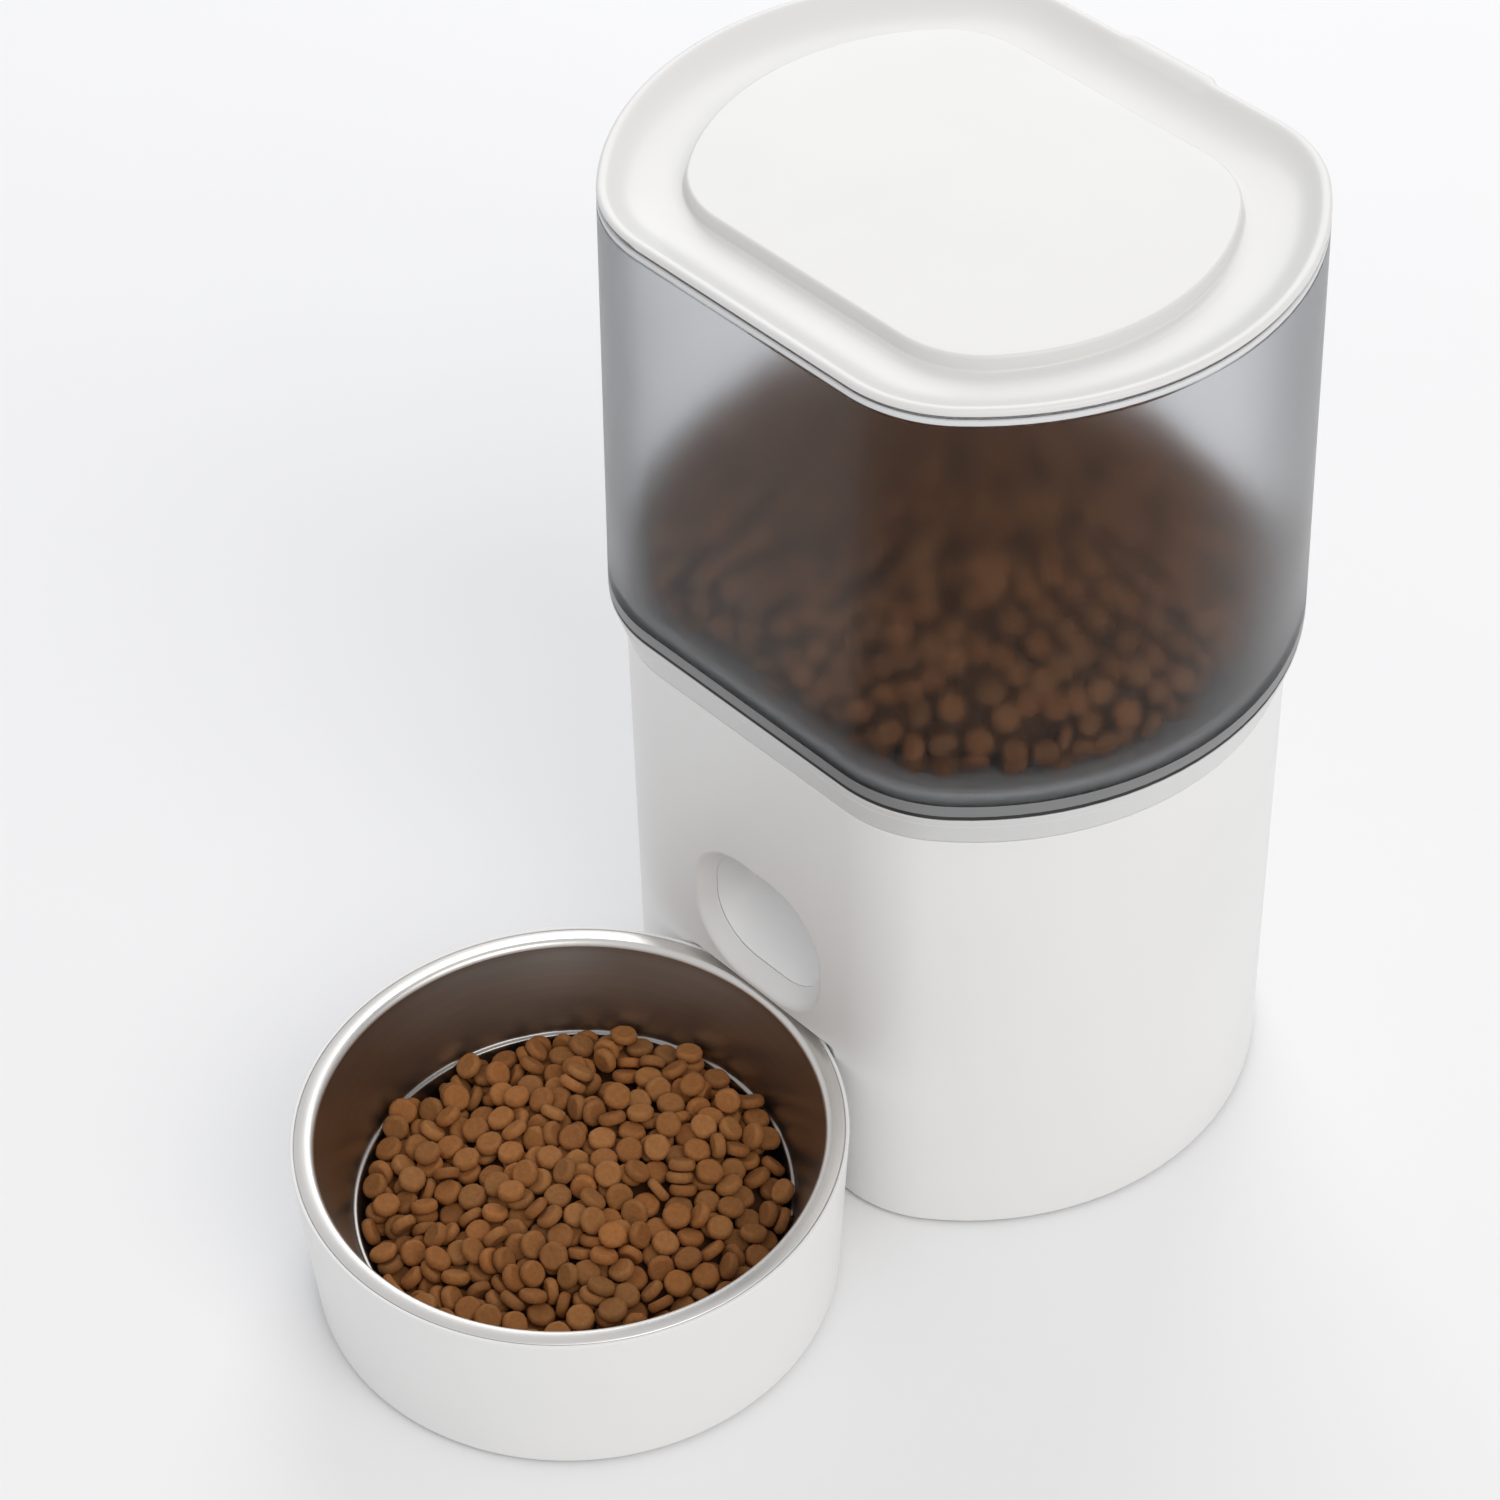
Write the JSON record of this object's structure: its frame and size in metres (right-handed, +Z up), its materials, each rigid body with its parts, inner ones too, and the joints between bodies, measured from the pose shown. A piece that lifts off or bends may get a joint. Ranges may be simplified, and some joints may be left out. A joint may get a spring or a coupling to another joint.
{
  "type": "automatic pet feeder",
  "caption": "Gravity pet feeder: lidded frosted tank on a white base whose motor rotor drops food down a front chute into a steel bowl in a pull-off holder.",
  "frame": {"origin": "on the floor, under the centre of the overall plan box", "axes": "+Z up, -Y towards the bowl side that the pet eats from, +X to the right seen from behind the base looking along +Y"},
  "size_m": [0.2034, 0.3219, 0.3154],
  "materials": {
    "white_plastic": "satin white, slightly warm",
    "lid_white": "satin white",
    "smoke_tank": "frosted smoke grey",
    "steel": "brushed flange, polished inside",
    "black_rubber": "matt",
    "grey_rubber": "matt",
    "soft_vane": "translucent milky",
    "grey_plastic": "fine matt",
    "clear_plastic": "clear",
    "dark_plastic": "fine matt",
    "nylon": "natural nylon",
    "bronze": "sintered",
    "screw_steel": "zinc plated",
    "motor_steel": "plated",
    "board": "solder mask",
    "board_parts": "moulded",
    "cell_jacket": "printed film",
    "contact_metal": "nickel plated",
    "lead": "insulated wire",
    "desiccant": "paper"
  },
  "bodies": {
    "base": {"base_housing": "white_plastic", "base_plate": "white_plastic", "base_screws": "screw_steel", "rubber_feet": "grey_rubber", "batteries": "cell_jacket", "battery_contacts": "contact_metal", "collar_ring": "white_plastic", "food_chute": "white_plastic", "sensor_windows": "dark_plastic", "rotor_cup": "grey_plastic", "cup_screws": "screw_steel", "shaft_bush": "bronze", "motor_bracket": "motor_steel", "bracket_screws": "screw_steel", "motor_screws": "screw_steel", "gearbox": "motor_steel", "motor_can": "motor_steel", "circuit_board": "board", "board_parts": "board_parts", "board_screws": "screw_steel", "tact_switch": "dark_plastic", "dc_jack": "dark_plastic", "status_light": "clear_plastic", "motor_leads": "lead", "battery_leads": "lead"},
    "rotor": {"rotor_hub": "grey_plastic", "rotor_vanes": "soft_vane", "rotor_shaft": "screw_steel", "drive_gear": "nylon", "agitator": "grey_plastic", "shaft_clip": "screw_steel"},
    "motor_output": {"motor_pinion": "nylon", "motor_shaft": "screw_steel"},
    "tank": {"tank": "smoke_tank", "tank_gasket": "black_rubber", "hopper_funnel": "white_plastic"},
    "lid": {"lid_cover": "lid_white", "lid_liner": "lid_white", "lid_seal": "soft_vane", "desiccant_box": "grey_plastic", "desiccant_pack": "desiccant"},
    "holder": {"bowl_holder": "white_plastic", "holder_pads": "grey_rubber"},
    "bowl": {"steel_bowl": "steel"},
    "battery_door": {"battery_door": "white_plastic"},
    "feed_button": {"feed_button": "grey_plastic"},
    "desiccant_cover": {"desiccant_cover": "grey_plastic"}
  },
  "joints": [
    {"name": "tank_lift", "type": "slide", "parent": "base", "child": "tank", "axis": [0, 0, 1], "range_m": [0, 0.06]},
    {"name": "lid_lift", "type": "slide", "parent": "tank", "child": "lid", "axis": [0, 0, 1], "range_m": [0, 0.05]},
    {"name": "desiccant_cover_turn", "type": "hinge", "parent": "lid", "child": "desiccant_cover", "pos_m": [0, 0.0768, 0.2825], "axis": [0, 0, 1], "range_deg": [0, 30]},
    {"name": "holder_pull", "type": "slide", "parent": "base", "child": "holder", "axis": [0, -1, 0], "range_m": [0, 0.05]},
    {"name": "bowl_tip", "type": "hinge", "parent": "holder", "child": "bowl", "pos_m": [0, 0.0008, 0.0569], "axis": [-1, 0, 0], "range_deg": [0, 20]},
    {"name": "rotor_spin", "type": "hinge", "parent": "base", "child": "rotor", "pos_m": [0, 0.0868, 0.118], "axis": [0, 0, 1], "continuous": true},
    {"name": "motor_spin", "type": "hinge", "parent": "base", "child": "motor_output", "pos_m": [0, 0.1111, 0.106], "axis": [0, 0, 1], "continuous": true},
    {"name": "battery_door_drop", "type": "slide", "parent": "base", "child": "battery_door", "axis": [0, 0, -1], "range_m": [0, 0.03]},
    {"name": "feed_press", "type": "slide", "parent": "base", "child": "feed_button", "axis": [0, -1, 0], "range_m": [0, 0.001], "stiffness_N_per_m": 400, "springref_m": -0.002}
  ],
  "couplings": [
    {"joint": "motor_spin", "follows": "rotor_spin", "ratio": -2.375}
  ]
}
